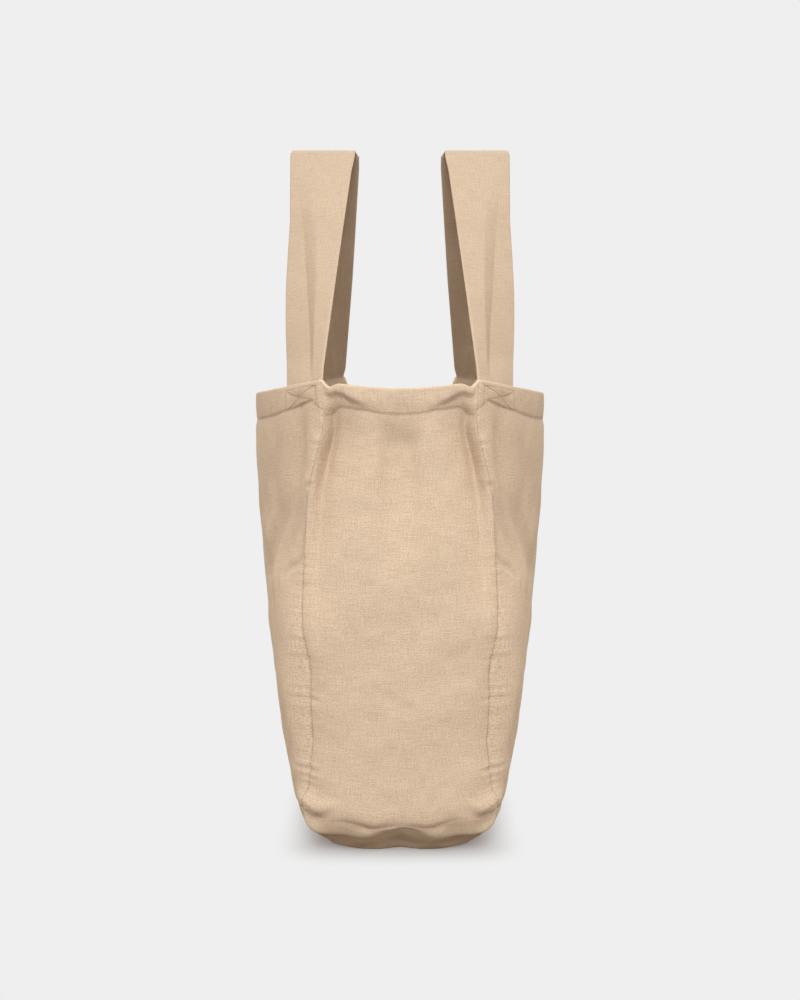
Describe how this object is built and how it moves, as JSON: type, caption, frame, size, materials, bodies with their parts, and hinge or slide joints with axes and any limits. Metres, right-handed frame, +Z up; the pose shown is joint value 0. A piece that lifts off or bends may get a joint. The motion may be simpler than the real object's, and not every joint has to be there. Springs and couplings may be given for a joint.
{
  "type": "shopping bag",
  "caption": "Soft linen shopping bag with bulging wide panels, narrow gussets, a rolled base, a turned hem and flat carrying straps that stand up from the open mouth.",
  "frame": {"origin": "on the floor under the middle of the base", "axes": "+Z up, +Y from the front gusset to the rear gusset, +X from the left wide panel to the right one"},
  "size_m": [0.2944, 0.4276, 0.655],
  "materials": {
    "body_linen": "matt washed plain-weave linen, natural beige",
    "hem_linen": "matt washed linen, folded double and topstitched",
    "strap_linen": "matt washed linen, folded double and pressed flat"
  },
  "bodies": {
    "root": {"gusset_front": "body_linen", "gusset_rear": "body_linen", "panel_left": "body_linen", "panel_right": "body_linen", "base_panel": "body_linen", "rim_hem": "hem_linen", "strap_left": "strap_linen", "strap_right": "strap_linen"}
  },
  "joints": []
}
